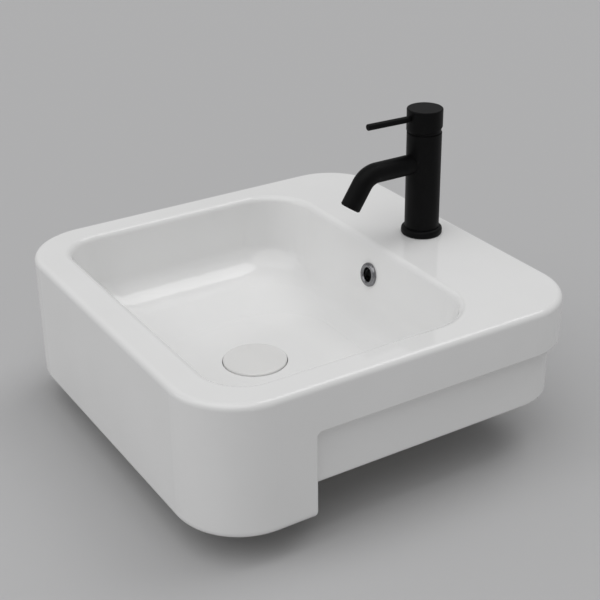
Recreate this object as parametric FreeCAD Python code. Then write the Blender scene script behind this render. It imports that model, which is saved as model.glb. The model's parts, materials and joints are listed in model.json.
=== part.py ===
import FreeCAD, Part

import math
import os

# A semi recessed basin with its mixer tap and its waste. Millimetres. The origin lies on the seat
# that rests on the worktop, at the middle of the rear wall. +Z is up, +Y points to the wall behind.

# --- basin, outside ---
basin_width = 500.0
basin_depth = 490.0
rim_height = 56.0  # from the worktop to the top of the rim
skirt_drop = 104.0  # how far the front skirt hangs below the worktop's top
skirt_reach = 127.0  # from the front face to the notch that takes the worktop's front edge
corner_front = 79.0
corner_rear = 76.0
rim_fillet = 7.0
foot_fillet = 9.0
notch_fillet = 5.0
notch_foot_fillet = 3.0
seat_width = 12.0  # overhang that rests on the worktop round its cut-out
hull_drop = 70.0  # how far the part in the cut-out reaches below the seat
hull_fillet = 5.0
hull_wall = 10.0
skirt_wall = 14.0
deck_thickness = 14.0

# --- basin, bowl ---
rim_side = 38.0  # from the side face to the bowl's edge
rim_front = 42.0  # from the front face to the bowl's front edge
deck_depth = 124.0  # from the rear face to the bowl's rear edge
bowl_corner_front = 48.0
bowl_corner_rear = 62.0
bowl_edge_fillet = 8.0
bowl_taper = 12.0  # how far the side walls lean in between the rim and the floor
bowl_taper_ends = 14.0  # the same for the front and the rear wall
bowl_wall_foot = 86.0  # depth below the rim at which the walls meet the floor
bowl_bend_height = 26.0  # how far up the wall the soft bend to the floor starts
bowl_bend_share = 0.45  # how far along the floor's slope the bend ends
bend_sections = 5
bowl_clearance = 10.0  # how far the bowl's cutting tool stands above the rim
bowl_shell = 12.0
floor_depth = 108.0  # depth of the flatter part of the floor below the rim
floor_side = 111.0  # from the bowl's edge to the flatter part of the floor, at the sides
floor_front = 51.0
floor_rear = 49.0
floor_corner = 75.0
floor_fall = 1.5  # last fall of the floor to the waste
floor_fall_edge = 11.0  # from the floor's edge to the start of its last fall

# --- basin, waste hole and overflow ---
waste_offset = 10.0  # how far the waste lies in front of the floor's middle
waste_hole_gap = 2.05  # between the waste's tail and its hole
recess_gap = 0.8  # between the plug cap's edge and the recess
recess_depth = 9.0
recess_edge_fillet = 1.0
boss_wall = 12.0
boss_foot_depth = 150.0  # depth of the boss's lower face below the rim
overflow_depth = 39.0  # depth of the overflow hole's axis below the rim
overflow_hole_radius = 11.0
duct_half_width = 20.0
duct_depth = 12.0
duct_wall = 8.0
duct_gap = 8.0  # china between the bowl's rear wall and the duct at the rim
duct_height = 14.0
duct_roof_depth = 26.0  # depth of the duct's top below the rim
chamber_reach = 8.0  # from the waste hole's wall to the outside of the chamber round the waste

# --- waste ---
seal_thickness = 2.0
flange_lap = 9.0  # how far the waste's flange lies on the china
flange_thickness = 2.5
tail_radius = 20.95  # G 1 1/4 thread, 41.9 mm over the crests
tail_wall = 3.45
tail_end_depth = 196.0  # depth of the tail's end below the rim
tail_chamfer = 1.2
relief_radius = 20.4  # groove at the upper end of the free thread
relief_width = 2.0
funnel_edge = 10.5  # flat of the flange round the funnel
funnel_depth = 4.5
window_width = 14.0
gasket_lap = 11.0
gasket_thickness = 4.0
slip_washer_thickness = 1.5
backnut_flats = 58.0
backnut_height = 10.0
thread_gap = 0.05  # between a nut or stud and the thread that holds it

# --- plug ---
cap_radius = 38.5
cap_edge = 6.1
cap_dome = 2.8
cap_edge_fillet = 1.8
cap_lift = 0.5  # between the closed cap and the waste's flange
carrier_edge = 8.5  # china between the carrier and the cap's edge
carrier_thickness = 1.2
ring_section = 1.6  # section radius of the plug's sealing ring
ring_gap = 0.3
carrier_lip = 1.0
stem_radius = 5.0
stem_length = 30.0
stem_shoulder = 1.0  # step between the plug stem and its thread
running_gap = 0.05
guide_hub_wall = 2.0
guide_height = 12.0
guide_ring_wall = 2.0
guide_arm = 3.0
guide_count = 3
fit_gap = 0.1  # between parts that are fitted by hand and stay put
latch_radius = 8.0
latch_flange_lap = 1.6
latch_flange_height = 2.0
latch_floor = 2.0
latch_gap = 0.8  # between the closed plug's carrier and the latch
spring_length = 14.0
spring_gap = 0.6  # between the spring and the bore that it sits in
spring_wire = 1.2

# --- overflow ring ---
bezel_radius = 15.0
bezel_thickness = 4.2
bezel_lip = 1.0  # step between the sleeve's bore and the bezel's
sleeve_gap = 0.2  # between the overflow ring's sleeve and the hole
sleeve_wall = 1.3
sleeve_length = 12.0

# --- tap, body ---
tap_setback = 52.0  # from the rear face to the tap's axis
tap_hole_radius = 17.5
tap_wall = 3.8  # of the body round the cartridge
tap_height = 131.5  # from the deck to the top of the body
base_seal_thickness = 1.0
base_seal_inset = 1.0  # from the base ring's edge
base_seal_lap = 1.5  # how far the seal reaches into the tap hole
base_ring_wall = 4.0
base_ring_height = 8.2
base_ring_fillet = 3.8
base_ring_foot_fillet = 1.0
inlet_radius = 4.5  # M10 x 1 thread, measured over the hole's wall
inlet_depth = 12.0
inlet_spread = 8.5
inlet_offset = -4.0
passage_radius = 3.2
stud_radius = 4.0  # M8
stud_offset = 11.0
stud_depth = 15.0
stud_drop = 62.0  # how far the stud reaches below the deck's top
clamp_radius = 25.0
clamp_slot_half = 13.5
clamp_slot_end = 3.5
clamp_plate_thickness = 3.0
clamp_rubber_thickness = 3.0
stud_nut_flats = 13.0
stud_nut_height = 6.5
clamp_hole_gap = 0.3

# --- tap, spout ---
spout_drop = 14.1  # from the cartridge's base down to the spout's axis
spout_radius = 12.4
spout_wall = 2.6
spout_socket = 10.5  # from the tap's axis to the floor of the socket that takes the spout
spout_seal_thickness = 1.5
spout_run = 69.5  # from the tap's axis to the start of the bend
spout_bend_radius = 25.0
spout_bend = 57.0  # degrees
spout_tip = 30.3  # straight length after the bend
mix_radius = 3.5
mix_offset = 6.0
aerator_rim = 1.1  # wall of the spout round the aerator
aerator_depth = 11.0
aerator_wall = 2.0
aerator_seal_thickness = 1.0
aerator_lip = 0.8
aerator_insert_height = 6.0
aerator_hole_radius = 0.8
aerator_hole_pitch = 3.0  # from the grille's middle to its first ring of holes, and from ring to ring
aerator_rings = 2
aerator_ring_holes = 6  # in the first ring; the next has twice as many
spout_edge_fillet = 0.8

# --- tap, cartridge ---
cartridge_depth = 24.0  # from the top of the body down to the cartridge's base
cartridge_radius = 17.5
cartridge_wall = 2.3
cartridge_floor = 2.0
cartridge_height = 16.5
base_gasket_thickness = 0.8
disc_thickness = 2.5
slide_thickness = 2.2
slide_radius = 12.5
slide_pocket = 2.8
port_radius = 2.8
disc_gap = 0.05
pivot_rise = 11.0  # from the cartridge's base to the lever's tilting axis
rotor_slot = 5.7
rotor_slot_front = -8.0
rotor_slot_rear = 11.5
pin_radius = 1.5
pin_length = 26.0
eye_radius = 3.1
finger_radius = 2.2
finger_reach = 5.2
cartridge_nut_wall = 3.7
cartridge_nut_height = 3.0
turn_gap = 0.3  # between parts that turn and the fixed parts beside them
neck_inset = 1.0  # from the body's side in to the neck's
neck_wall = 1.8
neck_plate = 1.5
neck_hub_gap = 0.4  # between the neck's hub and the cartridge nut
neck_hub_wall = 1.1
neck_drop = 1.0  # from the handle cap's lower edge down to the top of the neck

# --- tap, handle ---
head_wall = 1.15
head_bore_gap = 0.45  # between the neck and the handle cap's bore
head_hollow_gap = 0.8  # between the neck and the round room inside the cap
seam_front = 2.5  # from the top of the body to the handle cap's lower edge, at the front
seam_rear = 8.5  # the same at the rear, where the cap tilts down
head_rise = 30.0  # from the top of the body to the top of the handle cap
head_top_fillet = 1.4
head_foot_fillet = 0.3
lever_drop = 10.5  # from the top of the handle cap down to the lever's axis
lever_reach = 83.3  # from the tap's axis to the lever's tip
lever_neck_radius = 3.4
lever_neck = 4.0
lever_radius = 4.0
lever_tip_fillet = 1.2
lever_shoulder_fillet = 0.5
lever_thread = 10.0
lever_slope = 1.0  # degrees above level
grub_radius = 2.0
grub_length = 9.0

# --- places that follow from the sizes ---
rear_y = seat_width / 2.0
front_y = rear_y - basin_depth
notch_y = front_y + skirt_reach
rim_z = rim_height
skirt_z = -skirt_drop
deck_floor_z = rim_z - deck_thickness
bowl_half_width = basin_width / 2.0 - rim_side
bowl_front_y = front_y + rim_front
bowl_rear_y = rear_y - deck_depth
floor_half_width = bowl_half_width - floor_side
floor_front_y = bowl_front_y + floor_front
floor_rear_y = bowl_rear_y - floor_rear
waste_y = (floor_front_y + floor_rear_y) / 2.0 - waste_offset
floor_room = min(floor_half_width, waste_y - floor_front_y, floor_rear_y - waste_y)
floor_fall_radius = floor_room - floor_fall_edge
floor_z = rim_z - floor_depth
waste_hole_radius = tail_radius + waste_hole_gap
chamber_radius = waste_hole_radius + chamber_reach
flange_radius = waste_hole_radius + flange_lap
funnel_radius = flange_radius - funnel_edge
gasket_radius = waste_hole_radius + gasket_lap
tail_bore = tail_radius - tail_wall
carrier_radius = cap_radius - carrier_edge
stem_thread_radius = stem_radius - stem_shoulder
guide_hub_radius = latch_radius + guide_hub_wall
latch_flange_radius = latch_radius + latch_flange_lap
spring_radius = stem_radius - spring_gap
spring_bore = spring_radius - spring_wire
sleeve_radius = overflow_hole_radius - sleeve_gap
sleeve_bore = sleeve_radius - sleeve_wall
bezel_bore = sleeve_bore - bezel_lip
recess_radius = cap_radius + recess_gap
recess_edge_z = floor_z - floor_fall
recess_z = recess_edge_z - recess_depth
boss_radius = recess_radius + boss_wall
boss_z = rim_z - boss_foot_depth
duct_z = boss_z + duct_wall
tail_z = rim_z - tail_end_depth
flange_z = recess_z + seal_thickness
flange_top_z = flange_z + flange_thickness
cap_z = flange_top_z + cap_lift
gasket_z = boss_z - gasket_thickness
slip_z = gasket_z - slip_washer_thickness
backnut_z = slip_z - backnut_height
tap_y = rear_y - tap_setback
body_z = rim_z + base_seal_thickness
body_top_z = rim_z + tap_height
seat_z = body_top_z - cartridge_depth
spout_z = seat_z - spout_drop
pivot_z = seat_z + pivot_rise
head_top_z = body_top_z + head_rise
lever_z = head_top_z - lever_drop
tap_radius = cartridge_radius + fit_gap + tap_wall
base_ring_radius = tap_radius + fit_gap + base_ring_wall
base_seal_radius = base_ring_radius - base_seal_inset
spout_bore = spout_radius - spout_wall
aerator_radius = spout_radius - aerator_rim - fit_gap
cartridge_nut_bore = cartridge_radius - cartridge_nut_wall
neck_radius = tap_radius - neck_inset
neck_hub_radius = cartridge_nut_bore - neck_hub_gap
neck_hole_radius = neck_hub_radius - neck_hub_wall
head_bore = neck_radius + head_bore_gap
head_radius = head_bore + head_wall
neck_top_z = body_top_z + seam_rear - neck_drop
head_hollow = math.hypot(neck_radius, neck_top_z - pivot_z) + head_hollow_gap
clamp_z = deck_floor_z - clamp_rubber_thickness
plate_z = clamp_z - clamp_plate_thickness

X = FreeCAD.Vector(1, 0, 0)
Y = FreeCAD.Vector(0, 1, 0)
Z = FreeCAD.Vector(0, 0, 1)
MARGIN = 1.0  # how far a cutting tool stands past the face that it opens


def vec(x, y, z):
    return FreeCAD.Vector(x, y, z)


def rod(radius, z_low, z_high, x=0.0, y=0.0):
    return Part.makeCylinder(radius, z_high - z_low, vec(x, y, z_low))


def tube(bore, radius, z_low, z_high, x=0.0, y=0.0):
    hole = rod(bore, z_low - MARGIN, z_high + MARGIN, x, y)
    return rod(radius, z_low, z_high, x, y).cut(hole)


def block(x_low, x_high, y_low, y_high, z_low, z_high):
    size = (x_high - x_low, y_high - y_low, z_high - z_low)
    return Part.makeBox(*size, vec(x_low, y_low, z_low))


def hexagon(flats, z_low, z_high, x=0.0, y=0.0):
    reach = flats / math.sqrt(3.0)
    corners = [
        vec(x + reach * math.cos(math.radians(60 * k)), y + reach * math.sin(math.radians(60 * k)), z_low)
        for k in range(7)
    ]
    return Part.Face(Part.makePolygon(corners)).extrude(vec(0, 0, z_high - z_low))


def turned(profile, x=0.0, y=0.0):
    """A solid of revolution about a vertical axis, from (radius, z) points."""
    points = [vec(radius, 0, z) for radius, z in profile]
    face = Part.Face(Part.makePolygon(points + points[:1]))
    solid = face.revolve(vec(0, 0, 0), Z, 360)
    solid.translate(vec(x, y, 0))
    return solid


def edges_where(shape, test):
    """The edges whose two ends and middle all pass the test."""
    found = []
    for edge in shape.Edges:
        middle = edge.valueAt((edge.FirstParameter + edge.LastParameter) / 2.0)
        if all(test(p) for p in [v.Point for v in edge.Vertexes] + [middle]):
            found.append(edge)
    return found


def near(a, b):
    return abs(a - b) < 1e-4


def outline(half_width, y_front, y_rear, r_front, r_rear, z):
    """A rounded rectangle as four lines and four arcs, always in the same order."""
    corners = (
        (half_width - r_front, y_front + r_front, r_front),
        (half_width - r_rear, y_rear - r_rear, r_rear),
        (r_rear - half_width, y_rear - r_rear, r_rear),
        (r_front - half_width, y_front + r_front, r_front),
    )
    arcs = []
    for quarter, (x, y, r) in enumerate(corners):
        centre = vec(x, y, z)
        turn = [math.radians(90 * quarter - 90 + part) for part in (0, 45, 90)]
        arcs.append([centre + vec(r * math.cos(t), r * math.sin(t), 0) for t in turn])
    edges = []
    for quarter, points in enumerate(arcs):
        edges.append(Part.Arc(*points).toShape())
        edges.append(Part.LineSegment(points[2], arcs[(quarter + 1) % 4][0]).toShape())
    return Part.Wire(edges)


def prism(wire, height):
    return Part.Face(wire).extrude(vec(0, 0, height))


def outer_outline(inset, z, seat=0.0):
    """The basin's outer outline, inset all round."""
    inset = inset + seat
    return outline(
        basin_width / 2.0 - inset,
        front_y + inset,
        rear_y - inset,
        corner_front - inset,
        corner_rear - inset,
        z,
    )


def basin_block():
    """The outside of the basin: rim, front skirt, and the hull that hangs in the cut-out."""
    body = prism(outer_outline(0.0, skirt_z), rim_z - skirt_z)
    side = basin_width
    notch = block(-side, side, notch_y, rear_y + side, skirt_z - side, 0.0)
    body = body.cut(notch)
    body = body.makeFillet(rim_fillet, edges_where(body, lambda p: near(p.z, rim_z)))
    front = edges_where(body, lambda p: near(p.z, skirt_z))
    front = [e for e in front if not all(near(v.Y, notch_y) for v in e.Vertexes)]
    body = body.makeFillet(foot_fillet, front)
    corner = edges_where(body, lambda p: near(p.y, notch_y) and near(p.z, 0.0))
    body = body.makeFillet(notch_fillet, corner)
    foot = edges_where(body, lambda p: near(p.y, notch_y) and near(p.z, skirt_z))
    body = body.makeFillet(notch_foot_fillet, foot)
    hull = prism(outer_outline(0.0, -hull_drop, seat_width), hull_drop + rim_z / 2.0)
    hull = hull.makeFillet(hull_fillet, edges_where(hull, lambda p: near(p.z, -hull_drop)))
    behind = block(-side, side, front_y + skirt_reach / 2.0, rear_y, -hull_drop - MARGIN, rim_z)
    return body.fuse(hull.common(behind)).removeSplitter()


def wall_section(depth, grow):
    """The bowl's outline on its straight walls, at a depth below the rim."""
    share = depth / bowl_wall_foot
    side, end = bowl_taper * share, bowl_taper_ends * share
    return (
        bowl_half_width - side + grow,
        bowl_front_y + end - grow,
        bowl_rear_y - end + grow,
        bowl_corner_front + grow,
        bowl_corner_rear + grow,
        rim_z - depth,
    )


def mixed(first, second, share):
    """An outline's sizes part of the way from one outline to another."""
    return tuple(a + (b - a) * share for a, b in zip(first, second))


def loft(sections, straight):
    return Part.makeLoft([outline(*sizes) for sizes in sections], True, straight)


def bowl(grow):
    """The bowl's hollow, or with grow its china shell as a full solid.

    Straight walls and a sloping floor meet in a soft bend, and each is a loft of rounded rectangles.
    """
    start = -bowl_clearance if grow == 0 else deck_thickness / 2.0
    top = wall_section(start, grow)
    foot = wall_section(bowl_wall_foot, grow)[:5] + (rim_z - bowl_wall_foot - grow,)
    floor = (
        floor_half_width + grow,
        floor_front_y - grow,
        floor_rear_y + grow,
        floor_corner + grow,
        floor_corner + grow,
        floor_z - grow,
    )
    bend_start = mixed(foot, top, bowl_bend_height / (top[5] - foot[5]))
    bend_end = mixed(foot, floor, bowl_bend_share)
    bend = []
    for k in range(bend_sections):
        share = k / (bend_sections - 1.0)
        bend.append(mixed(mixed(bend_start, foot, share), mixed(foot, bend_end, share), share))
    walls = loft([top, bend_start], True)
    return walls.fuse([loft(bend, False), loft([bend_end, floor], True)]).removeSplitter()


def duct(grow):
    """The overflow's way from behind the bowl's rear wall to the waste, or with grow its china."""
    half = duct_half_width + grow
    back_y = bowl_rear_y + duct_gap + duct_depth + grow
    near_y = bowl_rear_y + duct_gap - grow
    floor = duct_z - grow
    upright = block(-half, half, near_y, back_y, floor, rim_z - duct_roof_depth + grow)
    level = block(-half, half, waste_y, back_y, floor, duct_z + duct_height + grow)
    return upright.fuse(level).removeSplitter()


def wall_point():
    """Where the overflow's axis meets the bowl's rear wall, and the wall's normal into the bowl."""
    y = bowl_rear_y - bowl_taper_ends * overflow_depth / bowl_wall_foot
    lean = math.atan2(bowl_taper_ends, bowl_wall_foot)
    return vec(0, y, rim_z - overflow_depth), vec(0, -math.cos(lean), math.sin(lean))


def basin_body():
    body = basin_block()
    side = basin_width
    skirt_pocket = prism(outer_outline(skirt_wall, skirt_z - MARGIN), deck_floor_z - skirt_z + MARGIN)
    skirt_pocket = skirt_pocket.common(
        block(-side, side, front_y, notch_y - skirt_wall, skirt_z - side, rim_z)
    )
    hull_pocket = prism(
        outer_outline(hull_wall, -hull_drop - side, seat_width), hull_drop + side + deck_floor_z
    )
    hull_pocket = hull_pocket.common(block(-side, side, front_y + skirt_wall, rear_y, -side, rim_z))
    china = bowl(bowl_shell)
    china = china.fuse(rod(boss_radius, boss_z, floor_z, 0, waste_y))
    china = china.fuse(duct(duct_wall))
    body = body.cut(skirt_pocket.fuse(hull_pocket)).fuse(china)
    hollow = bowl(0.0)
    fall = Part.makeCone(
        recess_radius, floor_fall_radius, floor_fall, vec(0, waste_y, recess_edge_z)
    )
    hollow = hollow.fuse(fall)
    body = body.cut(hollow)
    bowl_edges = edges_where(body, lambda p: near(p.z, rim_z) and inside_rim(p))
    body = body.makeFillet(bowl_edge_fillet, bowl_edges)
    body = body.cut(rod(recess_radius, recess_z, floor_z, 0, waste_y))
    recess_edges = edges_where(body, lambda p: near(p.z, recess_edge_z))
    body = body.makeFillet(recess_edge_fillet, recess_edges)
    body = body.cut(rod(waste_hole_radius, boss_z - MARGIN, floor_z, 0, waste_y))
    body = body.cut(rod(chamber_radius, duct_z, duct_z + duct_height, 0, waste_y))
    body = body.cut(duct(0.0))
    body = body.cut(rod(tap_hole_radius, deck_floor_z - MARGIN, rim_z + MARGIN, 0, tap_y))
    point, normal = wall_point()
    reach = point.y - (bowl_rear_y + duct_gap)
    length = duct_depth / 2.0 - reach
    hole = Part.makeCylinder(overflow_hole_radius, length + MARGIN, point + normal, normal * -1)
    return body.cut(hole).removeSplitter()


def inside_rim(point):
    """Whether a point of the rim's top lies on its inner edge."""
    margin = rim_fillet + MARGIN
    return (
        abs(point.x) < basin_width / 2.0 - margin
        and front_y + margin < point.y < rear_y - margin
    )


def overflow_ring():
    point, normal = wall_point()
    bezel = Part.makeCylinder(bezel_radius, bezel_thickness)
    outer = edges_where(bezel, lambda p: near(p.z, bezel_thickness))
    bezel = bezel.makeFillet(bezel_thickness * 0.8, outer)
    bezel = bezel.cut(rod(bezel_bore, -MARGIN, bezel_thickness + MARGIN))
    mouth = edges_where(
        bezel, lambda p: near(p.z, bezel_thickness) and near(math.hypot(p.x, p.y), bezel_bore)
    )
    bezel = bezel.makeFillet(bezel_thickness * 0.6, mouth)
    ring = bezel.fuse(tube(sleeve_bore, sleeve_radius, -sleeve_length, 0.0)).removeSplitter()
    ring.Placement = FreeCAD.Placement(point, FreeCAD.Rotation(Z, normal))
    return ring


def waste_body():
    shell = turned(
        (
            (tail_bore, tail_z),
            (tail_radius - tail_chamfer, tail_z),
            (tail_radius, tail_z + tail_chamfer),
            (tail_radius, backnut_z - relief_width),
            (relief_radius, backnut_z - relief_width),
            (relief_radius, backnut_z),
            (tail_radius, backnut_z),
            (tail_radius, flange_z),
            (flange_radius, flange_z),
            (flange_radius, flange_top_z - flange_thickness / 2.0),
            (flange_radius - flange_thickness / 2.0, flange_top_z),
            (funnel_radius, flange_top_z),
            (tail_bore, flange_top_z - funnel_depth),
        ),
        0,
        waste_y,
    )
    half = window_width / 2.0
    reach = 2.0 * tail_radius
    for along, across in ((reach, half), (half, reach)):
        shell = shell.cut(
            block(-along, along, waste_y - across, waste_y + across, duct_z, duct_z + duct_height)
        )
    return shell


def plug_guide():
    """A hub on three arms, fixed in the waste's bore under the plug."""
    high = guide_top_z()
    low = high - guide_height
    ring_radius = tail_bore - fit_gap
    guide = tube(ring_radius - guide_ring_wall, ring_radius, low, high, 0, waste_y)
    guide = guide.fuse(rod(guide_hub_radius, low, high, 0, waste_y))
    for k in range(guide_count):
        arm = block(-guide_arm / 2.0, guide_arm / 2.0, 0, ring_radius - MARGIN, low, high)
        arm.rotate(vec(0, 0, 0), Z, 360.0 / guide_count * k)
        arm.translate(vec(0, waste_y, 0))
        guide = guide.fuse(arm)
    return guide.cut(rod(latch_radius + fit_gap, low - MARGIN, high + MARGIN, 0, waste_y)).removeSplitter()


def carrier_low_z():
    return ring_place()[1] - ring_section - carrier_lip


def guide_top_z():
    return carrier_low_z() - latch_gap - latch_flange_height


def stem_foot_z():
    return cap_z - stem_length


def latch_floor_z():
    return stem_foot_z() - spring_length


def click_latch():
    """The push-to-open latch: a sleeve that holds the stem and the spring under it."""
    flange_low = guide_top_z()
    sleeve = rod(latch_radius, latch_floor_z() - latch_floor, flange_low, 0, waste_y)
    sleeve = sleeve.fuse(rod(latch_flange_radius, flange_low, flange_low + latch_flange_height, 0, waste_y))
    bore = rod(stem_radius + running_gap, latch_floor_z(), flange_top_z, 0, waste_y)
    return sleeve.cut(bore).removeSplitter()


def click_spring():
    low = latch_floor_z() + fit_gap
    return tube(spring_bore, spring_radius, low, stem_foot_z() - fit_gap, 0, waste_y)


def ring_place():
    """Radius and height of the plug ring's section, which lies just off the waste's funnel."""
    slope = (funnel_radius - tail_bore) / funnel_depth
    height = flange_top_z - ring_section
    cone = funnel_radius - slope * ring_section
    away = (ring_section + ring_gap) / math.cos(math.atan(slope))
    return cone - away, height


def plug_seal():
    radius, height = ring_place()
    return Part.makeTorus(radius, ring_section, vec(0, waste_y, height))


def cap_carrier():
    """The threaded disc in the cap's underside, with the groove for the sealing ring."""
    neck = ring_place()[0] - ring_section
    low = carrier_low_z()
    body = rod(carrier_radius, cap_z, cap_z + carrier_thickness, 0, waste_y)
    body = body.fuse(rod(neck, low, cap_z, 0, waste_y))
    body = body.fuse(rod(neck + carrier_lip, low, low + carrier_lip, 0, waste_y))
    return body.cut(rod(stem_thread_radius + thread_gap, low - MARGIN, cap_z, 0, waste_y)).removeSplitter()


def plug_stem():
    shoulder = carrier_low_z()
    stem = rod(stem_radius, stem_foot_z(), shoulder, 0, waste_y)
    return stem.fuse(rod(stem_thread_radius, shoulder, cap_z, 0, waste_y)).removeSplitter()


def plug_cap():
    """A shallow ceramic dome over the waste."""
    edge_z = cap_z + cap_edge
    ball = (cap_radius**2 + cap_dome**2) / (2.0 * cap_dome)
    dome = Part.makeSphere(ball, vec(0, waste_y, edge_z + cap_dome - ball))
    cap = rod(cap_radius, cap_z, edge_z + cap_dome + MARGIN, 0, waste_y).common(dome)
    rim = edges_where(cap, lambda p: near(p.z, edge_z) and near(math.hypot(p.x, p.y - waste_y), cap_radius))
    cap = cap.makeFillet(cap_edge_fillet, rim)
    pocket = rod(carrier_radius + fit_gap, cap_z - MARGIN, cap_z + carrier_thickness, 0, waste_y)
    return cap.cut(pocket)


def tap_body():
    """The tap's brass body, with its water ways, the spout's socket and the cartridge's bore."""
    body = rod(tap_radius, body_z, body_top_z, 0, tap_y)
    body = body.cut(rod(cartridge_radius + fit_gap, seat_z, head_top_z, 0, tap_y))
    for side in (-1, 1):
        x, y = side * inlet_spread, tap_y + inlet_offset
        body = body.cut(rod(inlet_radius, body_z - MARGIN, body_z + inlet_depth, x, y))
        body = body.cut(rod(passage_radius, body_z, seat_z + MARGIN, x, y))
    body = body.cut(
        rod(stud_radius + thread_gap, body_z - MARGIN, body_z + stud_depth, 0, tap_y + stud_offset)
    )
    socket = Part.makeCylinder(
        spout_radius + thread_gap, tap_radius, vec(0, tap_y - spout_socket, spout_z), Y * -1
    )
    mix_rear = tap_y + mix_offset
    mix = Part.makeCylinder(mix_radius, mix_offset + spout_socket + MARGIN, vec(0, mix_rear, spout_z), Y * -1)
    rise = rod(mix_radius, spout_z, seat_z + MARGIN, 0, mix_rear)
    return body.cut(socket).cut(mix.fuse(rise))


def spout_core(radius, start, extra):
    """The spout's tube as one solid: a level run, a bend, and a straight tip."""
    bend_y = tap_y - spout_run
    level = Part.makeCylinder(radius, spout_run - start, vec(0, tap_y - start, spout_z), Y * -1)
    circle = Part.Face(Part.Wire(Part.makeCircle(radius, vec(0, bend_y, spout_z), Y)))
    bend = circle.revolve(vec(0, bend_y, spout_z - spout_bend_radius), X, spout_bend)
    tip_start, direction = spout_exit(0.0)
    tip = Part.makeCylinder(radius, spout_tip + extra, tip_start, direction)
    return level.fuse([bend, tip]).removeSplitter()


def spout_exit(along):
    """A point on the spout's axis after the bend, and the way the water leaves."""
    turn = math.radians(spout_bend)
    y = tap_y - spout_run - spout_bend_radius * math.sin(turn)
    z = spout_z - spout_bend_radius * (1.0 - math.cos(turn))
    direction = vec(0, -math.cos(turn), -math.sin(turn))
    return vec(0, y, z) + direction * along, direction


def spout():
    root = spout_socket + spout_seal_thickness
    shell = spout_core(spout_radius, root, 0.0)
    end, direction = spout_exit(spout_tip)
    tip_edges = edges_where(shell, lambda p: near((p - end).dot(direction), 0.0))
    shell = shell.makeFillet(spout_edge_fillet, tip_edges)
    shell = shell.cut(spout_core(spout_bore, root - MARGIN, MARGIN))
    deep, direction = spout_exit(spout_tip - aerator_depth)
    recess = Part.makeCylinder(aerator_radius + fit_gap, aerator_depth + MARGIN, deep, direction)
    return shell.cut(recess)


def spout_seal():
    face_y = tap_y - spout_socket
    ring = Part.makeCylinder(spout_radius - fit_gap, spout_seal_thickness, vec(0, face_y, spout_z), Y * -1)
    return ring.cut(
        Part.makeCylinder(spout_bore, spout_radius, vec(0, face_y + MARGIN, spout_z), Y * -1)
    )


def aerator_seal():
    deep, direction = spout_exit(spout_tip - aerator_depth)
    ring = Part.makeCylinder(aerator_radius, aerator_seal_thickness, deep, direction)
    hole_start = deep - direction * MARGIN
    return ring.cut(Part.makeCylinder(aerator_radius - aerator_wall, spout_radius, hole_start, direction))


def aerator_housing():
    start, direction = spout_exit(spout_tip - aerator_depth + aerator_seal_thickness)
    length = aerator_depth - aerator_seal_thickness + aerator_lip
    ring = Part.makeCylinder(aerator_radius, length, start, direction)
    bore = Part.makeCylinder(
        aerator_radius - aerator_wall, length + 2 * MARGIN, start - direction * MARGIN, direction
    )
    return ring.cut(bore)


def aerator_insert():
    """The round grille that mixes air into the water."""
    start, direction = spout_exit(spout_tip - aerator_insert_height)
    disc = Part.makeCylinder(aerator_radius - aerator_wall - fit_gap, aerator_insert_height, start, direction)
    across = direction.cross(X)
    holes = [start]
    for ring in range(1, aerator_rings + 1):
        ring_radius = aerator_hole_pitch * ring
        for k in range(aerator_ring_holes * ring):
            turn = 2.0 * math.pi * k / (aerator_ring_holes * ring)
            holes.append(start + X * (ring_radius * math.cos(turn)) + across * (ring_radius * math.sin(turn)))
    for place in holes:
        length = aerator_insert_height + 2 * MARGIN
        disc = disc.cut(
            Part.makeCylinder(aerator_hole_radius, length, place - direction * MARGIN, direction)
        )
    return disc


def tap_base_ring():
    bore = tap_radius + fit_gap
    top_z = body_z + base_ring_height
    ring = rod(base_ring_radius, body_z, top_z, 0, tap_y)
    ring = ring.makeFillet(base_ring_fillet, edges_where(ring, lambda p: near(p.z, top_z)))
    ring = ring.makeFillet(base_ring_foot_fillet, edges_where(ring, lambda p: near(p.z, body_z)))
    return ring.cut(rod(bore, body_z - MARGIN, top_z + MARGIN, 0, tap_y))


def tap_base_seal():
    bore = tap_hole_radius - base_seal_lap
    return tube(bore, base_seal_radius, rim_z, body_z, 0, tap_y)


def horseshoe(z_low, z_high):
    """A round plate with a slot for the hoses and a hole for the stud."""
    plate = rod(clamp_radius, z_low, z_high, 0, tap_y)
    slot = block(
        -clamp_slot_half,
        clamp_slot_half,
        tap_y - 2 * clamp_radius,
        tap_y + clamp_slot_end,
        z_low - MARGIN,
        z_high + MARGIN,
    )
    hole = rod(stud_radius + clamp_hole_gap, z_low - MARGIN, z_high + MARGIN, 0, tap_y + stud_offset)
    return plate.cut(slot).cut(hole)


def clamp_nut():
    low = plate_z - stud_nut_height
    nut = hexagon(stud_nut_flats, low, plate_z, 0, tap_y + stud_offset)
    return nut.cut(
        rod(stud_radius + thread_gap, low - MARGIN, plate_z + MARGIN, 0, tap_y + stud_offset)
    )


def mounting_stud():
    return rod(stud_radius, rim_z - stud_drop, body_z + stud_depth, 0, tap_y + stud_offset)


def above_seam(offset):
    """All that lies above the handle cap's lower edge, or above a plane at an offset from it."""
    span = 4 * head_radius
    slope = math.degrees(math.atan((seam_rear - seam_front) / (2.0 * head_radius)))
    upper = block(-span, span, -span, span, 0, span)
    upper.rotate(vec(0, 0, 0), X, slope)
    upper.translate(vec(0, tap_y, body_top_z + (seam_front + seam_rear) / 2.0 + offset))
    return upper


def ports(z_low, z_high):
    """The two inlets and the outlet through the cartridge's base, as cutting tools."""
    places = ((-inlet_spread, inlet_offset), (inlet_spread, inlet_offset), (0.0, mix_offset))
    tools = [rod(port_radius, z_low - MARGIN, z_high + MARGIN, x, tap_y + y) for x, y in places]
    return tools[0].fuse(tools[1:])


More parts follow.
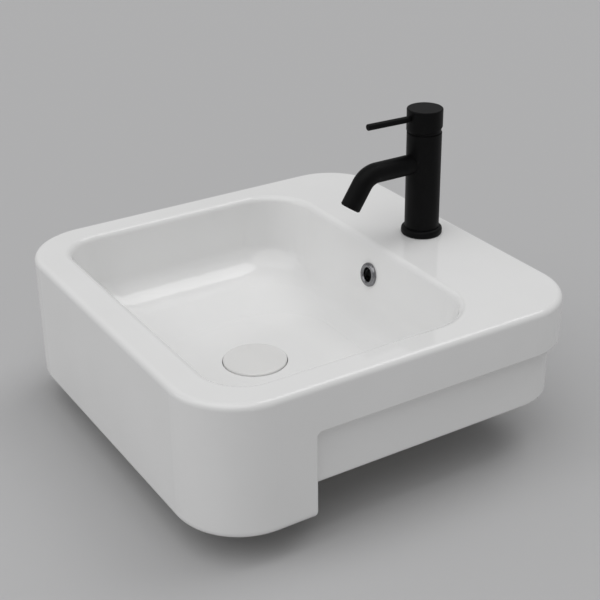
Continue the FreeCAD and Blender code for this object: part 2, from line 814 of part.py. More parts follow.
housing_z = seat_z + base_gasket_thickness
disc_z = housing_z + cartridge_floor
slide_z = disc_z + disc_thickness + disc_gap
rotor_z = slide_z + slide_thickness + disc_gap
housing_top_z = housing_z + cartridge_height
housing_bore = cartridge_radius - cartridge_wall


def cartridge_gasket():
    top = seat_z + base_gasket_thickness
    return rod(cartridge_radius, seat_z, top, 0, tap_y).cut(ports(seat_z, top))


def cartridge_housing():
    cup = rod(cartridge_radius, housing_z, housing_top_z, 0, tap_y)
    cup = cup.cut(rod(housing_bore, disc_z, housing_top_z + MARGIN, 0, tap_y))
    return cup.cut(ports(housing_z, disc_z))


def fixed_disc():
    top = disc_z + disc_thickness
    return rod(housing_bore - fit_gap, disc_z, top, 0, tap_y).cut(ports(disc_z, top))


def moving_disc():
    """The ceramic disc that slides when the lever tilts; the stem's finger sits in its pocket."""
    top = slide_z + slide_thickness
    return tube(slide_pocket, slide_radius, slide_z, top, 0, tap_y)


def cartridge_rotor():
    rotor = rod(housing_bore - running_gap, rotor_z, housing_top_z, 0, tap_y)
    slot = block(
        -rotor_slot,
        rotor_slot,
        tap_y + rotor_slot_front,
        tap_y + rotor_slot_rear,
        rotor_z - MARGIN,
        housing_top_z + MARGIN,
    )
    pin_hole = Part.makeCylinder(pin_radius, 2 * head_radius, vec(-head_radius, tap_y, pivot_z), X)
    return rotor.cut(slot).cut(pin_hole)


def stem_pin():
    return Part.makeCylinder(pin_radius, pin_length, vec(-pin_length / 2.0, tap_y, pivot_z), X)


def stem_top_z():
    return head_top_z - lever_drop / 2.0 - MARGIN


def cartridge_stem():
    """The rod from the disc through the tilting pin up into the handle cap."""
    half = rotor_slot - 2 * fit_gap
    eye = Part.makeCylinder(eye_radius, 2 * half, vec(-half, tap_y, pivot_z), X)
    stem = rod(stud_radius, pivot_z, stem_top_z(), 0, tap_y)
    finger = rod(finger_radius, pivot_z - finger_reach, pivot_z, 0, tap_y)
    stem = stem.fuse([eye, finger])
    bore = Part.makeCylinder(pin_radius + running_gap, 2 * head_radius, vec(-head_radius, tap_y, pivot_z), X)
    return stem.cut(bore).removeSplitter()


def cartridge_nut():
    low = housing_top_z
    return tube(cartridge_nut_bore, cartridge_radius, low, low + cartridge_nut_height, 0, tap_y)


def neck_cover():
    """The collar under the handle cap, on the rotor; its slanted top follows the cap's lower edge."""
    collar = rod(neck_radius, body_top_z + turn_gap, head_top_z, 0, tap_y)
    room = rod(neck_radius - neck_wall, body_top_z, head_top_z, 0, tap_y)
    collar = collar.cut(room.cut(above_seam(-neck_drop - neck_plate)))
    hub = rod(neck_hub_radius, housing_top_z, head_top_z, 0, tap_y)
    collar = collar.fuse(hub).cut(above_seam(-neck_drop))
    return collar.cut(rod(neck_hole_radius, rotor_z, head_top_z, 0, tap_y)).removeSplitter()


def lever_axis():
    """The lever's root on the tap's axis, and the way it points."""
    rise = math.radians(lever_slope)
    return vec(0, tap_y, lever_z), vec(0, -math.cos(rise), math.sin(rise))


def handle_cap():
    cap = rod(head_radius, body_z, head_top_z, 0, tap_y).common(above_seam(0.0))
    cap = cap.makeFillet(head_top_fillet, edges_where(cap, lambda p: near(p.z, head_top_z)))
    cap = cap.makeFillet(head_foot_fillet, edges_where(cap, lambda p: p.z < head_top_z - head_radius))
    room = rod(head_bore, body_z, head_top_z, 0, tap_y)
    cap = cap.cut(room.common(Part.makeSphere(head_hollow, vec(0, tap_y, pivot_z))))
    cap = cap.cut(rod(stud_radius + thread_gap, pivot_z, stem_top_z() + MARGIN, 0, tap_y))
    root, way = lever_axis()
    start = head_radius - lever_thread
    cap = cap.cut(
        Part.makeCylinder(lever_neck_radius + thread_gap, head_radius, root + way * start, way)
    )
    return cap.cut(
        Part.makeCylinder(grub_radius + thread_gap, 2 * head_radius, root, Y)
    )


def handle_lever():
    """A slim pin, a little thinner at its neck, with a softened tip."""
    root, way = lever_axis()
    start = head_radius - lever_thread
    shoulder = head_radius + lever_neck
    neck = Part.makeCylinder(lever_neck_radius, shoulder - start, root + way * start, way)
    grip = Part.makeCylinder(lever_radius, lever_reach - shoulder, root + way * shoulder, way)
    tip = edges_where(grip, lambda p: near((p - root).dot(way), lever_reach))
    grip = grip.makeFillet(lever_tip_fillet, tip)
    heel = edges_where(grip, lambda p: near((p - root).dot(way), shoulder))
    grip = grip.makeFillet(lever_shoulder_fillet, heel)
    return neck.fuse(grip).removeSplitter()


def grub_screw():
    """The set screw that holds the handle cap on the stem, from the rear."""
    start = vec(0, tap_y + stud_radius, lever_z)
    screw = Part.makeCylinder(grub_radius, grub_length, start, Y)
    key = hexagon(grub_radius, -MARGIN, grub_radius)
    key.Placement = FreeCAD.Placement(start + Y * grub_length, FreeCAD.Rotation(Z, Y * -1))
    return screw.cut(key)


def waste_backnut():
    return hexagon(backnut_flats, backnut_z, slip_z, 0, waste_y).cut(
        rod(tail_radius + thread_gap, backnut_z - MARGIN, slip_z + MARGIN, 0, waste_y)
    )


nodes = {
    "basin_body": basin_body,
    "overflow_ring": overflow_ring,
    "waste_body": waste_body,
    "waste_top_seal": lambda: tube(
        waste_hole_radius - fit_gap, flange_radius - fit_gap, recess_z, flange_z, 0, waste_y
    ),
    "waste_gasket": lambda: tube(tail_radius + fit_gap, gasket_radius, gasket_z, boss_z, 0, waste_y),
    "waste_slip_washer": lambda: tube(tail_radius + fit_gap, gasket_radius, slip_z, gasket_z, 0, waste_y),
    "waste_backnut": waste_backnut,
    "plug_guide": plug_guide,
    "click_latch": click_latch,
    "click_spring": click_spring,
    "plug_stem": plug_stem,
    "cap_carrier": cap_carrier,
    "plug_seal": plug_seal,
    "plug_cap": plug_cap,
    "tap_body": tap_body,
    "tap_base_ring": tap_base_ring,
    "tap_base_seal": tap_base_seal,
    "spout": spout,
    "spout_seal": spout_seal,
    "aerator_housing": aerator_housing,
    "aerator_insert": aerator_insert,
    "aerator_seal": aerator_seal,
    "cartridge_gasket": cartridge_gasket,
    "cartridge_housing": cartridge_housing,
    "fixed_disc": fixed_disc,
    "moving_disc": moving_disc,
    "cartridge_rotor": cartridge_rotor,
    "stem_pin": stem_pin,
    "cartridge_stem": cartridge_stem,
    "cartridge_nut": cartridge_nut,
    "neck_cover": neck_cover,
    "handle_cap": handle_cap,
    "handle_lever": handle_lever,
    "grub_screw": grub_screw,
    "mounting_stud": mounting_stud,
    "clamp_rubber": lambda: horseshoe(clamp_z, deck_floor_z),
    "clamp_plate": lambda: horseshoe(plate_z, clamp_z),
    "clamp_nut": clamp_nut,
}

os.makedirs("parts", exist_ok=True)
for node, make in nodes.items():
    shape = make()
    if not shape.isValid() or shape.Volume <= 0:
        raise RuntimeError(f"{node} isn't a valid solid")
    shape.exportStep(f"parts/{node}.step")
    print(f"{node}: {len(shape.Solids)} solid, {shape.Volume / 1000.0:.2f} cm3")
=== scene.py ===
"""A white semi recessed basin with a matt black mixer tap, on a plain studio floor.

Metres, +Z up, +Y towards the wall behind the basin. The construction comes from the frame, and this
script gives it finishes, the fine forms that the frame leaves plain, light and a camera.
"""

import json
import math

import bpy
from mathutils import Matrix, Vector


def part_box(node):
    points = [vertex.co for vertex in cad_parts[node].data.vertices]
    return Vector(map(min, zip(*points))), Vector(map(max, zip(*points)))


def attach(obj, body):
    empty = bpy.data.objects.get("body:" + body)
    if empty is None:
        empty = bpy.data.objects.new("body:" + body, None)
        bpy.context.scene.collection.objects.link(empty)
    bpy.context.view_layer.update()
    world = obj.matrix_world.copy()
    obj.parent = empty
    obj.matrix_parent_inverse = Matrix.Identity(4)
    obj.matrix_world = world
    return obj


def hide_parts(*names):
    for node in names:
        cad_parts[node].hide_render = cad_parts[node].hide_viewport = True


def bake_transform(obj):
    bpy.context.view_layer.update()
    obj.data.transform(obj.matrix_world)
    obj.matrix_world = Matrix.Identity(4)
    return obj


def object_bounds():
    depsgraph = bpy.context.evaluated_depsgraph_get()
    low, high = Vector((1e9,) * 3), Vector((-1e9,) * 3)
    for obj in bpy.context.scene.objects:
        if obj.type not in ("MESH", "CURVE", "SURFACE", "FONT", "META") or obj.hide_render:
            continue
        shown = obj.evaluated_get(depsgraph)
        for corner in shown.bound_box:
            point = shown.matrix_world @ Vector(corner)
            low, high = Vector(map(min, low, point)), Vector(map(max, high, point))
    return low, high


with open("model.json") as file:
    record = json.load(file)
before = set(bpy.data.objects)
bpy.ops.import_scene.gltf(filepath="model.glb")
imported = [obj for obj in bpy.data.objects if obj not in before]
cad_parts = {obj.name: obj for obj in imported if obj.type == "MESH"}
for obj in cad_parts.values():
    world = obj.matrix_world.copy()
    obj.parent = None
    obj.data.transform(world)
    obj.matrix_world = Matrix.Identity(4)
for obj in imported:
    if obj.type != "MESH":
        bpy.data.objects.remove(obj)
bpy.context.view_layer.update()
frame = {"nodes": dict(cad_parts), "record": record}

MM = 0.001

# --- the photograph's view ---
CAMERA_PLACE = Vector((1.195886, -0.953188, 0.715648))
CAMERA_YAW = 58.081  # degrees round from looking along +Y
CAMERA_DROP = 26.406  # degrees below the horizon
CAMERA_ROLL = -0.542
CAMERA_LENS = 78.38
CAMERA_SENSOR = 36.0
CAMERA_SHIFT = (-0.0193, -0.0138)

# --- studio: far lamps, each a wide disc in the sky, so that the shadows are soft ---
# the direction of the lamp, the width of its disc in degrees, and its strength
LAMPS = {
    "overhead": ((0.18, -0.36, 0.92), 66.0, 0.90),
    "behind": ((0.0, 0.47, 0.88), 32.0, 0.54),
    "front": ((-0.35, -0.85, 0.40), 40.0, 0.28),
}
SURROUND = (0.348, 0.348, 0.35, 1.0)
BACKDROP = (0.425, 0.425, 0.428, 1.0)  # close to the tone of the lit floor
FLOOR_SIZE = 60.0
FLOOR_COLOUR = (0.52, 0.52, 0.524, 1.0)
FLOOR_ROUGHNESS = 0.9
FLOOR_GAP = 0.2 * MM  # below the lowest point of the part

# --- china; a noise's scale is in grains per metre, more or less ---
# the dull and the clear tint of the glaze
CHINAS = {
    "china": ((0.87, 0.87, 0.865), (0.89, 0.89, 0.886)),
    # a darker copy of the china for the plug's cap: its darker tint is painted shade
    "cap_china_painted_shade": ((0.80, 0.797, 0.787), (0.82, 0.817, 0.807)),
}
CHINA_IOR = 1.5
CHINA_TINT_RANGE = (0.35, 0.65)  # the part of a noise over which a tint goes from dark to light
CHINA_BUMP = 0.10
CHINA_BUMP_DEPTH = 0.4 * MM
GLAZE_ROUGHNESS = 0.06
GLAZE_TINT_SCALE = 9.0
GLAZE_WAVE_SCALE = 24.0
GLAZE_GONE = -0.72  # upward part of a face's normal at which no glaze is left
GLAZE_WHOLE = -0.66  # the same where the glaze is whole
GLAZE_RAGGED = 0.06  # how far the edge between the two wanders
GLAZE_RAGGED_SCALE = 55.0
BARE_DARK = (0.66, 0.64, 0.60)
BARE_LIGHT = (0.74, 0.725, 0.69)
BARE_ROUGHNESS = 0.75
BARE_TINT_SCALE = 260.0
BARE_GRAIN_SCALE = 1400.0

# --- matt black coating ---
BLACK_IOR = 1.3
BLACK_SHINE = 0.25
BLACK_DARK = (0.0018, 0.0018, 0.002)
BLACK_LIGHT = (0.003, 0.003, 0.0032)
BLACK_TINT_SCALE = 70.0
BLACK_TINT_RANGE = (0.3, 0.7)
BLACK_ROUGHNESS = (0.40, 0.54)
BLACK_ROUGHNESS_SCALE = 900.0
BLACK_GRAIN_SCALE = 2600.0
BLACK_BUMP = 0.25
BLACK_BUMP_DEPTH = 0.05 * MM

# --- metals: colour, roughness and how strong the turning lines are ---
METALS = {
    "chrome": ((0.80, 0.80, 0.81), 0.08, 0.02),
    # a darker copy of the chrome for the overflow's ring: its darker colour is a painted dark reflection
    "chrome_painted_dark_reflection": ((0.25, 0.25, 0.26), 0.10, 0.02),
    "brass": ((0.70, 0.52, 0.26), 0.28, 0.15),
    "steel": ((0.56, 0.56, 0.57), 0.30, 0.12),
}
METAL_DULL = 0.88  # share of the colour that is left where the metal is dull
METAL_CLOUD_SCALE = 35.0
METAL_CLOUD_RANGE = (0.35, 0.6)
METAL_LINE_SCALE = 60.0
METAL_LINE_STRETCH = (1.0, 1.0, 60.0)
METAL_LINE_RANGE = (0.3, 0.7)
METAL_LINE_ROUGHNESS = (0.7, 1.35)  # shares of the roughness, from line to line
METAL_LINE_DEPTH = 0.05 * MM

# --- rubber, plastic and the discs' ceramic: colour, roughness, grain's scale and grain's depth ---
SOFTS = {
    "rubber": ((0.022, 0.022, 0.023), 0.7, 1500.0, 0.1 * MM),
    "pale_plastic": ((0.72, 0.72, 0.70), 0.45, 900.0, 0.03 * MM),
    "grey_plastic": ((0.06, 0.06, 0.063), 0.5, 900.0, 0.03 * MM),
    "disc_ceramic": ((0.86, 0.85, 0.82), 0.3, 1200.0, 0.01 * MM),
}
SOFT_DARK = 0.85  # share of the colour that is left where it is darkest
SOFT_TINT_SCALE = 120.0
SOFT_TINT_RANGE = (0.3, 0.7)
SOFT_ROUGHNESS = (0.85, 1.15)  # shares of the roughness, from place to place
SOFT_ROUGHNESS_SCALE = 300.0
SOFT_BUMP = 0.3

# --- turned pieces and threads ---
COLUMNS = 96  # corners round a large turned piece
STUD_COLUMNS = 36
ROWS_PER_TURN = 8  # rows of corners on one turn of a thread
THREAD_FULLNESS = 1.35  # over 1, so that crests and roots are flat and the flanks between are steeper
THREAD_SHARP = 60.0  # degrees between two faces over which their edge stays sharp
STUD_PITCH = 1.25 * MM  # M8
STUD_THREAD_DEPTH = 0.72 * MM

# --- waste ---
TAIL_RADIUS = 20.95 * MM
TAIL_BORE = 17.5 * MM  # radius
TAIL_PITCH = 2.309 * MM  # G 1 1/4
TAIL_THREAD_DEPTH = 1.479 * MM
TAIL_THREAD_PAST_NUT = TAIL_PITCH / 2.0  # how far the thread goes on above the nut
TAIL_GROOVE = 2.0 * MM  # between the free thread and the one inside the nut
FLANGE_THICKNESS = 2.5 * MM
FLANGE_ROUNDING = FLANGE_THICKNESS / 2.0
FUNNEL_EDGE = 10.5 * MM  # from the flange's outside in to the funnel
FUNNEL_DEPTH = 4.5 * MM
WINDOW_WIDTH = 14.0 * MM
WINDOW_TOP = 14.0 * MM  # below the flange's top
WINDOW_FOOT = 28.0 * MM  # below the flange's top
WASTE_SHARP = 40.0

# --- nuts ---
NUT_SIDE = math.radians(60.0)  # angle that one side of a hexagon takes up
NUT_SLOPE = math.tan(math.radians(30.0))
NUT_FACE = 0.98  # radius of the turned face, as a share of half the width across the flats
NUT_ROW = 0.25 * MM  # height of one row of corners
NUT_BEVEL = 0.5 * MM
NUT_SHARP = 20.0
TAIL_NUT_BORE = 21.0 * MM  # radius
STUD_NUT_BORE = 4.05 * MM  # radius

# --- spring ---
SPRING_TURNS = 6
SPRING_WIRE = 0.6 * MM  # radius
SPRING_STEPS = 36  # rings of corners on one turn
SPRING_SIDES = 10  # corners round the wire
SPRING_SHARP = 60.0


def make_camera():
    yaw, drop = math.radians(CAMERA_YAW), math.radians(CAMERA_DROP)
    back = Vector((math.sin(yaw) * math.cos(drop), -math.cos(yaw) * math.cos(drop), math.sin(drop)))
    right = (-back).cross(Vector((0, 0, 1))).normalized()
    up = back.cross(right)
    roll = Matrix.Rotation(math.radians(CAMERA_ROLL), 3, "Z")
    turn = Matrix((right, up, back)).transposed() @ roll
    data = bpy.data.cameras.new("camera")
    data.lens = CAMERA_LENS
    data.sensor_width = CAMERA_SENSOR
    data.shift_x, data.shift_y = CAMERA_SHIFT
    camera = bpy.data.objects.new("camera", data)
    camera.matrix_world = Matrix.Translation(CAMERA_PLACE) @ turn.to_4x4()
    bpy.context.scene.collection.objects.link(camera)
    bpy.context.scene.camera = camera


def make_lamps():
    for name, (direction, width, strength) in LAMPS.items():
        data = bpy.data.lights.new(name, "SUN")
        data.angle = math.radians(width)
        data.energy = strength
        lamp = bpy.data.objects.new(name, data)
        lamp.rotation_euler = Vector(direction).to_track_quat("Z", "Y").to_euler()
        bpy.context.scene.collection.objects.link(lamp)


class Nodes:
    """A small helper that adds and links shader nodes of one node tree."""

    def __init__(self, tree):
        self.tree = tree
        tree.nodes.clear()

    def add(self, kind, values=None, **settings):
        node = self.tree.nodes.new(kind)
        for key, value in settings.items():
            setattr(node, key, value)
        for key, value in (values or {}).items():
            node.inputs[key].default_value = value
        return node

    def link(self, start, end):
        self.tree.links.new(start, end)


def make_world():
    """An even surround. Where it is seen, directly or in a reflection, it is near the floor's tone."""
    world = bpy.data.worlds.new("studio")
    bpy.context.scene.world = world
    world.use_nodes = True
    n = Nodes(world.node_tree)
    ray = n.add("ShaderNodeLightPath").outputs
    seen = combined(n, "MAXIMUM", ray["Is Camera Ray"], ray["Is Glossy Ray"])
    seen = combined(n, "MAXIMUM", seen, ray["Is Transmission Ray"])
    surround = n.add("ShaderNodeBackground", {"Color": SURROUND, "Strength": 1.0})
    backdrop = n.add("ShaderNodeBackground", {"Color": BACKDROP, "Strength": 1.0})
    mix = n.add("ShaderNodeMixShader")
    out = n.add("ShaderNodeOutputWorld")
    n.link(seen, mix.inputs[0])
    n.link(surround.outputs[0], mix.inputs[1])
    n.link(backdrop.outputs[0], mix.inputs[2])
    n.link(mix.outputs[0], out.inputs["Surface"])


def add_mesh(name, verts, faces):
    mesh = bpy.data.meshes.new(name)
    mesh.from_pydata(verts, [], faces)
    piece = bpy.data.objects.new(name, mesh)
    bpy.context.scene.collection.objects.link(piece)
    return piece


def make_floor():
    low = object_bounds()[0].z - FLOOR_GAP
    half = FLOOR_SIZE / 2.0
    corners = [(-half, -half, low), (half, -half, low), (half, half, low), (-half, half, low)]
    floor = add_mesh("floor", corners, [(0, 1, 2, 3)])
    material = bpy.data.materials.new("floor")
    material.use_nodes = True
    n = Nodes(material.node_tree)
    values = {"Base Color": FLOOR_COLOUR, "Roughness": FLOOR_ROUGHNESS}
    shader = n.add("ShaderNodeBsdfPrincipled", values)
    out = n.add("ShaderNodeOutputMaterial")
    n.link(shader.outputs[0], out.inputs["Surface"])
    floor.data.materials.append(material)


# --- materials ---


def new_material(name, **shader_values):
    """A material with one principled shader, and the object's own coordinates for its patterns."""
    material = bpy.data.materials.new(name)
    material.use_nodes = True
    n = Nodes(material.node_tree)
    values = {key.replace("_", " "): value for key, value in shader_values.items()}
    shader = n.add("ShaderNodeBsdfPrincipled", values)
    out = n.add("ShaderNodeOutputMaterial")
    n.link(shader.outputs[0], out.inputs["Surface"])
    return material, n, shader, n.add("ShaderNodeTexCoord")


def noise(n, place, scale, detail=2.0, stretch=(1.0, 1.0, 1.0)):
    """Cloudy noise from 0 to 1; a stretch over 1 presses its grains together along that axis."""
    mapping = n.add("ShaderNodeMapping", {"Scale": stretch})
    node = n.add("ShaderNodeTexNoise", {"Scale": scale, "Detail": detail})
    n.link(place.outputs["Object"], mapping.inputs["Vector"])
    n.link(mapping.outputs["Vector"], node.inputs["Vector"])
    return node.outputs["Fac"]


def ramp(n, source, low, high, at):
    """A colour that goes from low to high as the source goes between the two values in at."""
    node = n.add("ShaderNodeValToRGB")
    for element, where, colour in zip(node.color_ramp.elements, at, (low, high)):
        element.position = where
        element.color = (*colour, 1.0)
    n.link(source, node.inputs["Fac"])
    return node.outputs["Color"]


def spread(n, source, low, high, start=0.0, end=1.0):
    """The source, which goes from start to end, spread between two numbers."""
    values = {"From Min": start, "From Max": end, "To Min": low, "To Max": high}
    node = n.add("ShaderNodeMapRange", values)
    n.link(source, node.inputs["Value"])
    return node.outputs["Result"]


def combined(n, operation, first, second):
    node = n.add("ShaderNodeMath", operation=operation)
    n.link(first, node.inputs[0])
    n.link(second, node.inputs[1])
    return node.outputs[0]


def blended(n, share, first, second):
    """A colour between two others. A Mix node has sockets of one name for each kind of data, so its
    colour sockets are taken by number.
    """
    node = n.add("ShaderNodeMix", data_type="RGBA")
    n.link(share, node.inputs[0])
    n.link(first, node.inputs[6])
    n.link(second, node.inputs[7])
    return node.outputs[2]


def bump(n, shader, height, strength, distance):
    node = n.add("ShaderNodeBump", {"Strength": strength, "Distance": distance})
    n.link(height, node.inputs["Height"])
    n.link(node.outputs["Normal"], shader.inputs["Normal"])


def china(name, dull, clear):
    """White glaze with a slow wave in it. Faces that look down are bare: warmer, dull and grainy."""
    material, n, shader, place = new_material(name, IOR=CHINA_IOR)
    facing = n.add("ShaderNodeSeparateXYZ")
    n.link(place.outputs["Normal"], facing.inputs["Vector"])
    ragged = spread(n, noise(n, place, GLAZE_RAGGED_SCALE, detail=4.0), -GLAZE_RAGGED, GLAZE_RAGGED)
    upward = combined(n, "ADD", facing.outputs["Z"], ragged)
    glazed = spread(n, upward, 0.0, 1.0, start=GLAZE_GONE, end=GLAZE_WHOLE)
    glaze = ramp(n, noise(n, place, GLAZE_TINT_SCALE), dull, clear, CHINA_TINT_RANGE)
    cloud = noise(n, place, BARE_TINT_SCALE, detail=5.0)
    bare = ramp(n, cloud, BARE_DARK, BARE_LIGHT, CHINA_TINT_RANGE)
    n.link(blended(n, glazed, bare, glaze), shader.inputs["Base Color"])
    n.link(spread(n, glazed, BARE_ROUGHNESS, GLAZE_ROUGHNESS), shader.inputs["Roughness"])
    bareness = spread(n, glazed, 1.0, 0.0)
    grain = combined(n, "MULTIPLY", bareness, noise(n, place, BARE_GRAIN_SCALE, detail=3.0))
    height = combined(n, "ADD", grain, noise(n, place, GLAZE_WAVE_SCALE, detail=1.0))
    bump(n, shader, height, CHINA_BUMP, CHINA_BUMP_DEPTH)
    return material


def black():
    """Matt black coating with a very fine grain."""
    material, n, shader, place = new_material(
        "black", IOR=BLACK_IOR, Specular_IOR_Level=BLACK_SHINE
    )
    cloud = noise(n, place, BLACK_TINT_SCALE, detail=4.0)
    tint = ramp(n, cloud, BLACK_DARK, BLACK_LIGHT, BLACK_TINT_RANGE)
    n.link(tint, shader.inputs["Base Color"])
    roughness = spread(n, noise(n, place, BLACK_ROUGHNESS_SCALE), *BLACK_ROUGHNESS)
    n.link(roughness, shader.inputs["Roughness"])
    grain = noise(n, place, BLACK_GRAIN_SCALE, detail=3.0)
    bump(n, shader, grain, BLACK_BUMP, BLACK_BUMP_DEPTH)
    return material


def metal(name, colour, roughness, lines_bump):
    """Metal turned on a lathe: fine lines across the vertical axis, and a cloud in its colour."""
    material, n, shader, place = new_material(name, Metallic=1.0)
    dull = tuple(METAL_DULL * c for c in colour)
    lines = noise(n, place, METAL_LINE_SCALE, detail=3.0, stretch=METAL_LINE_STRETCH)
    cloud = noise(n, place, METAL_CLOUD_SCALE, detail=4.0)
    n.link(ramp(n, cloud, dull, colour, METAL_CLOUD_RANGE), shader.inputs["Base Color"])
    low, high = (share * roughness for share in METAL_LINE_ROUGHNESS)
    n.link(spread(n, lines, low, high, *METAL_LINE_RANGE), shader.inputs["Roughness"])
    bump(n, shader, lines, lines_bump, METAL_LINE_DEPTH)
    return material


def soft(name, colour, roughness, grain_scale, grain_depth):
    """Rubber, moulded plastic or plain ceramic with a fine grain."""
    material, n, shader, place = new_material(name)
    dark = tuple(SOFT_DARK * c for c in colour)
    tint = ramp(n, noise(n, place, SOFT_TINT_SCALE), dark, colour, SOFT_TINT_RANGE)
    n.link(tint, shader.inputs["Base Color"])
    low, high = (share * roughness for share in SOFT_ROUGHNESS)
    n.link(spread(n, noise(n, place, SOFT_ROUGHNESS_SCALE), low, high), shader.inputs["Roughness"])
    bump(n, shader, noise(n, place, grain_scale, detail=3.0), SOFT_BUMP, grain_depth)
    return material


def make_materials():
    """The record's material slots, and two darker copies of the scene's own: a chrome whose darker
    colour is a painted dark reflection, and a china whose darker colour is painted shade.
    """
    made = {name: china(name, *look) for name, look in CHINAS.items()}
    made["black"] = black()
    made.update({name: metal(name, *look) for name, look in METALS.items()})
    made.update({name: soft(name, *look) for name, look in SOFTS.items()})
    return made


def slot_of(node):
    subparts = frame["record"]["subparts"]
    return next(part["material_slot"] for part in subparts if part["node"] == node)


def finish_frame(materials):
    """Gives each node the finish of its slot. The overflow's ring takes the darker chrome, a painted
    dark reflection, and the plug's cap the darker china, painted shade.
    """
    for name, node in frame["nodes"].items():
        node.data.materials.clear()
        node.data.materials.append(materials[slot_of(name)])
    # painted dark reflection: the ring takes the darker copy of the chrome
    frame["nodes"]["overflow_ring"].data.materials[0] = materials["chrome_painted_dark_reflection"]
    # painted shade: the cap takes the darker copy of the china
    frame["nodes"]["plug_cap"].data.materials[0] = materials["cap_china_painted_shade"]


# --- turned pieces, threads and nuts ---


def middle(node):
    low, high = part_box(node)
    return (Vector(low) + Vector(high)) / 2.0


def turned_mesh(name, rows, centre, columns, ring):
    """A mesh round a vertical axis.

    Each row is a height and a function that gives a radius from an angle and that height. A ring's last
    row joins its first, so it is hollow; otherwise both of its ends are closed.
    """
    verts, faces = [], []
    for height, radius_at in rows:
        for column in range(columns):
            angle = 2.0 * math.pi * column / columns
            radius = radius_at(angle, height)
            x = centre.x + radius * math.cos(angle)
            y = centre.y + radius * math.sin(angle)
            verts.append((x, y, height))
    count = len(rows)
    for row in range(count if ring else count - 1):
        below, above = row * columns, (row + 1) % count * columns
        for column in range(columns):
            side = (column + 1) % columns
            faces.append((below + column, below + side, above + side, above + column))
    if not ring:
        faces.append(tuple(reversed(range(columns))))
        faces.append(tuple(range((count - 1) * columns, count * columns)))
    return add_mesh(name, verts, faces)


def steady(radius):
    """The same radius all the way round, for a row of turned_mesh."""
    return lambda angle, height: radius


def thread(crest, depth, pitch, z_low, z_high):
    """A right-handed screw thread's radius, bevelled down to its roots at both ends."""

    def radius_at(angle, height):
        phase = 2.0 * math.pi * height / pitch - angle
        wave = max(-1.0, min(1.0, THREAD_FULLNESS * math.cos(phase)))
        end = min(height - z_low, z_high - height)
        return min(crest - depth * (1.0 - wave) / 2.0, crest - depth + end)

    return radius_at


def levels(z_low, z_high, step):
    """Heights from low to high, about a step apart, with both ends."""
    count = max(1, round((z_high - z_low) / step))
    return [z_low + (z_high - z_low) * k / count for k in range(count + 1)]


def smooth(piece, degrees):
    """Smooth shading, with an edge kept sharp where its faces meet at more than this angle."""
    piece.data.shade_smooth()
    piece.data.set_sharp_from_angle(angle=math.radians(degrees))


def stand_for(piece, node, materials):
    """The piece takes the node's place, slot and finish."""
    piece.data.materials.clear()
    piece.data.materials.append(materials[slot_of(node)])
    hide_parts(node)


def threaded_stud(materials):
    low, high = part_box("mounting_stud")
    crest = (high[0] - low[0]) / 2.0
    form = thread(crest, STUD_THREAD_DEPTH, STUD_PITCH, low[2], high[2])
    rows = [(z, form) for z in levels(low[2], high[2], STUD_PITCH / ROWS_PER_TURN)]
    stud = turned_mesh("threaded_stud", rows, middle("mounting_stud"), STUD_COLUMNS, ring=False)
    smooth(stud, THREAD_SHARP)
    stand_for(stud, "mounting_stud", materials)
    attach(stud, "basin")


def chamfered_nut(name, node, bore, materials):
    """A hexagon nut with its corners turned off at both faces, and a bevel at each end of its bore."""
    low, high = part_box(node)
    half_flats = (high[1] - low[1]) / 2.0
    z_low, z_high = low[2], high[2]

    def outside(angle, height):
        turn = angle % NUT_SIDE - NUT_SIDE / 2.0
        end = min(height - z_low, z_high - height)
        return min(half_flats / math.cos(turn), NUT_FACE * half_flats + end / NUT_SLOPE)

    rows = [(z, outside) for z in levels(z_low, z_high, NUT_ROW)]
    bore_rows = (
        (z_high, bore + NUT_BEVEL),
        (z_high - NUT_BEVEL, bore),
        (z_low + NUT_BEVEL, bore),
        (z_low, bore + NUT_BEVEL),
    )
    rows += [(z, steady(radius)) for z, radius in bore_rows]
    nut = turned_mesh(name, rows, middle(node), COLUMNS, ring=True)
    smooth(nut, NUT_SHARP)
    stand_for(nut, node, materials)
    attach(nut, "basin")


def cut_window(piece, half_x, half_y, z_low, z_high, centre):
    """Cuts a box right through the piece."""
    verts = [
        (centre.x + x, centre.y + y, z)
        for z in (z_low, z_high)
        for x, y in ((-half_x, -half_y), (half_x, -half_y), (half_x, half_y), (-half_x, half_y))
    ]
    faces = [(3, 2, 1, 0), (4, 5, 6, 7), (0, 1, 5, 4), (1, 2, 6, 5), (2, 3, 7, 6), (3, 0, 4, 7)]
    cutter = add_mesh("cutter", verts, faces)
    modifier = piece.modifiers.new("window", "BOOLEAN")
    modifier.operation = "DIFFERENCE"
    modifier.solver = "EXACT"
    modifier.object = cutter
    graph = bpy.context.evaluated_depsgraph_get()
    cut_mesh = bpy.data.meshes.new_from_object(piece.evaluated_get(graph))
    piece.modifiers.clear()
    piece.data = cut_mesh
    bpy.data.objects.remove(cutter)


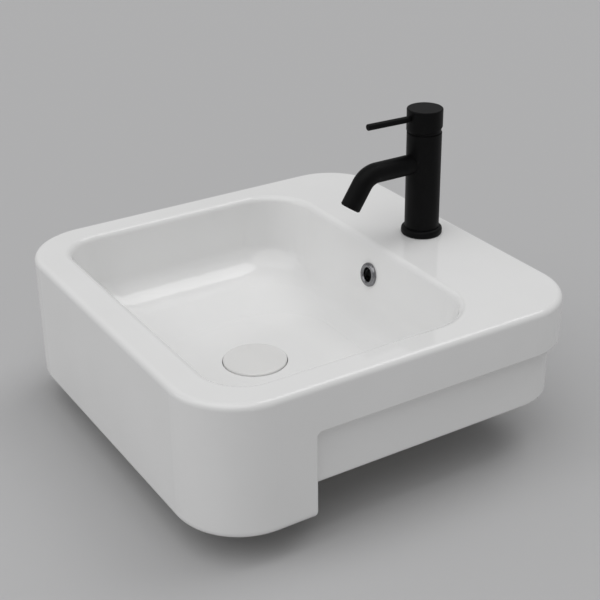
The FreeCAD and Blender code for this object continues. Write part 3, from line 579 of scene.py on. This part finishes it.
def threaded_waste(materials):
    """The waste's flange and funnel, its four windows, and the thread on its tail."""
    low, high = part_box("waste_body")
    nut_low, nut_high = (corner[2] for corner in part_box("waste_backnut"))
    centre = middle("waste_body")
    flange = (high[0] - low[0]) / 2.0
    foot, top = low[2], high[2]
    free_thread = (foot, nut_low - TAIL_GROOVE)
    nut_thread = (nut_low, nut_high + TAIL_THREAD_PAST_NUT)
    rows = [(foot, steady(TAIL_BORE))]
    for z_low, z_high in (free_thread, nut_thread):
        form = thread(TAIL_RADIUS, TAIL_THREAD_DEPTH, TAIL_PITCH, z_low, z_high)
        rows += [(z, form) for z in levels(z_low, z_high, TAIL_PITCH / ROWS_PER_TURN)]
    neck = rows[-1][0]
    third = FLANGE_ROUNDING / 3.0
    plain_rows = (
        (neck + TAIL_THREAD_DEPTH, TAIL_RADIUS),
        (top - FLANGE_THICKNESS, TAIL_RADIUS),
        (top - FLANGE_THICKNESS, flange),
        (top - FLANGE_ROUNDING, flange),
        (top - third, flange - third),
        (top, flange - FLANGE_ROUNDING),
        (top, flange - FUNNEL_EDGE),
        (top - FUNNEL_DEPTH, TAIL_BORE),
    )
    rows += [(z, steady(radius)) for z, radius in plain_rows]
    waste = turned_mesh("threaded_waste", rows, centre, COLUMNS, ring=True)
    half = WINDOW_WIDTH / 2.0
    reach = 2.0 * TAIL_RADIUS
    for half_x, half_y in ((reach, half), (half, reach)):
        cut_window(waste, half_x, half_y, top - WINDOW_FOOT, top - WINDOW_TOP, centre)
    smooth(waste, WASTE_SHARP)
    stand_for(waste, "waste_body", materials)
    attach(waste, "basin")


def coil_spring(materials):
    """The latch's spring as one open coil, which stretches between the latch and the plug."""
    low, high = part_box("click_spring")
    centre = middle("click_spring")
    coil = (high[0] - low[0]) / 2.0 - SPRING_WIRE
    z_low = low[2] + SPRING_WIRE
    length = high[2] - low[2] - 2.0 * SPRING_WIRE
    turn = 2.0 * math.pi * SPRING_TURNS
    steps = SPRING_STEPS * SPRING_TURNS
    verts, faces = [], []
    for step in range(steps + 1):
        angle = turn * step / steps
        out = Vector((math.cos(angle), math.sin(angle), 0.0))
        run = Vector((-coil * math.sin(angle), coil * math.cos(angle), length / turn)).normalized()
        over = out.cross(run)
        place = Vector((centre.x, centre.y, z_low + length * step / steps)) + coil * out
        for side in range(SPRING_SIDES):
            round_wire = 2.0 * math.pi * side / SPRING_SIDES
            away = math.cos(round_wire) * out + math.sin(round_wire) * over
            verts.append(place + SPRING_WIRE * away)
    for step in range(steps):
        ring = step * SPRING_SIDES
        for side in range(SPRING_SIDES):
            a, b = ring + side, ring + (side + 1) % SPRING_SIDES
            faces.append((a, a + SPRING_SIDES, b + SPRING_SIDES, b))
    faces.append(tuple(range(SPRING_SIDES)))
    faces.append(tuple(reversed(range(steps * SPRING_SIDES, (steps + 1) * SPRING_SIDES))))
    spring = add_mesh("coil_spring", verts, faces)
    smooth(spring, SPRING_SHARP)
    stand_for(spring, "click_spring", materials)
    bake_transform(spring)


make_camera()
make_lamps()
make_world()
make_floor()
materials = make_materials()
finish_frame(materials)
threaded_waste(materials)
threaded_stud(materials)
chamfered_nut("tail_nut", "waste_backnut", TAIL_NUT_BORE, materials)
chamfered_nut("stud_nut", "clamp_nut", STUD_NUT_BORE, materials)
coil_spring(materials)

bpy.context.scene.view_settings.view_transform = "Standard"
